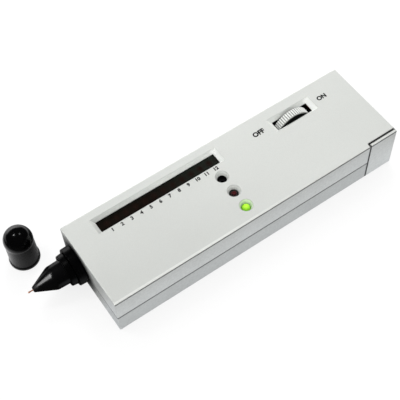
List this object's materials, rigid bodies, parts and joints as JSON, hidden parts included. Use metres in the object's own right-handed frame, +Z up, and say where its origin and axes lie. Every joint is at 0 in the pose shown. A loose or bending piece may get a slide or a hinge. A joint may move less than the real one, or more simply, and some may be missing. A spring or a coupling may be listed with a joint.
{
  "type": "diamond tester",
  "caption": "Hand-held thermal gem tester: flat silver-grey case with a scale window, lamp wells and thumbwheel, black conical nose with a sprung probe, and a loose probe cap.",
  "frame": {"origin": "centre of the case's flat underside", "axes": "+X towards the case's rear, with the probe pointing to -X; +Z up out of the face with the window; +Y towards the side with the window"},
  "size_m": [0.2156, 0.0769, 0.0308],
  "materials": {
    "silver_paint": "satin silver-grey painted plastic",
    "smoked_acrylic": "clear smoked acrylic, nearly black",
    "green_lamp": "lit yellow-green lamp lens",
    "red_lamp": "unlit dark red lamp lens",
    "scale_lamp": "unlit red lamp lens",
    "white_plastic": "satin off-white plastic",
    "black_plastic": "glossy black plastic",
    "copper": "bare copper, a little dulled",
    "steel": "plain steel",
    "circuit_board": "green solder mask",
    "chip_black": "matt black moulding",
    "trimmer_blue": "matt blue plastic",
    "ceramic": "unglazed white ceramic",
    "battery_jacket": "dark printed metal jacket, left bare",
    "fibre": "brown fibre sheet",
    "red_wire": "red insulation",
    "black_wire": "black insulation"
  },
  "bodies": {
    "case": {"upper_shell": "silver_paint", "lower_shell": "silver_paint", "window_filter": "smoked_acrylic", "scale_led_01": "scale_lamp", "scale_led_02": "scale_lamp", "scale_led_03": "scale_lamp", "scale_led_04": "scale_lamp", "scale_led_05": "scale_lamp", "scale_led_06": "scale_lamp", "scale_led_07": "scale_lamp", "scale_led_08": "scale_lamp", "scale_led_09": "scale_lamp", "scale_led_10": "scale_lamp", "scale_led_11": "scale_lamp", "scale_led_12": "scale_lamp", "main_board": "circuit_board", "ready_led": "green_lamp", "low_battery_led": "red_lamp", "buzzer": "chip_black", "potentiometer": "steel", "battery": "battery_jacket", "battery_contact_plate": "fibre", "battery_lead_red": "red_wire", "battery_lead_black": "black_wire", "nose_collar": "black_plastic", "nose_ring": "black_plastic", "nose_cone": "black_plastic", "probe_spring": "steel", "spring_stop": "black_plastic", "probe_lead_1": "red_wire", "probe_lead_2": "black_wire", "driver_chip": "chip_black", "amplifier_chip": "chip_black", "trimmer_1": "trimmer_blue", "trimmer_2": "trimmer_blue", "case_screw_1": "steel", "board_screw_1": "steel", "case_screw_2": "steel", "board_screw_2": "steel", "case_screw_3": "steel", "board_screw_3": "steel", "case_screw_4": "steel", "board_screw_4": "steel"},
    "wheel": {"thumbwheel": "white_plastic", "wheel_shaft": "steel", "wheel_screw": "steel"},
    "probe": {"probe_pin": "copper", "probe_holder": "ceramic", "probe_heater": "copper"},
    "door": {"battery_door": "silver_paint"},
    "cap": {"cap": "black_plastic"}
  },
  "joints": [
    {"name": "thumbwheel_turn", "type": "hinge", "parent": "case", "child": "wheel", "pos_m": [0.0524, 0.01575, 0.0186], "axis": [0, 1, 0], "range_deg": [-135, 135]},
    {"name": "probe_slide", "type": "slide", "parent": "case", "child": "probe", "axis": [1, 0, 0], "range_m": [0, 0.0015], "stiffness_N_per_m": 600, "springref_m": -0.002, "deforming": ["probe_spring"]},
    {"name": "battery_door_slide", "type": "slide", "parent": "case", "child": "door", "axis": [1, 0, 0], "range_m": [0, 0.018]},
    {"name": "cap_lift", "type": "slide", "parent": "case", "child": "cap", "axis": [0, 0, 1], "range_m": [0, 0.04]}
  ]
}
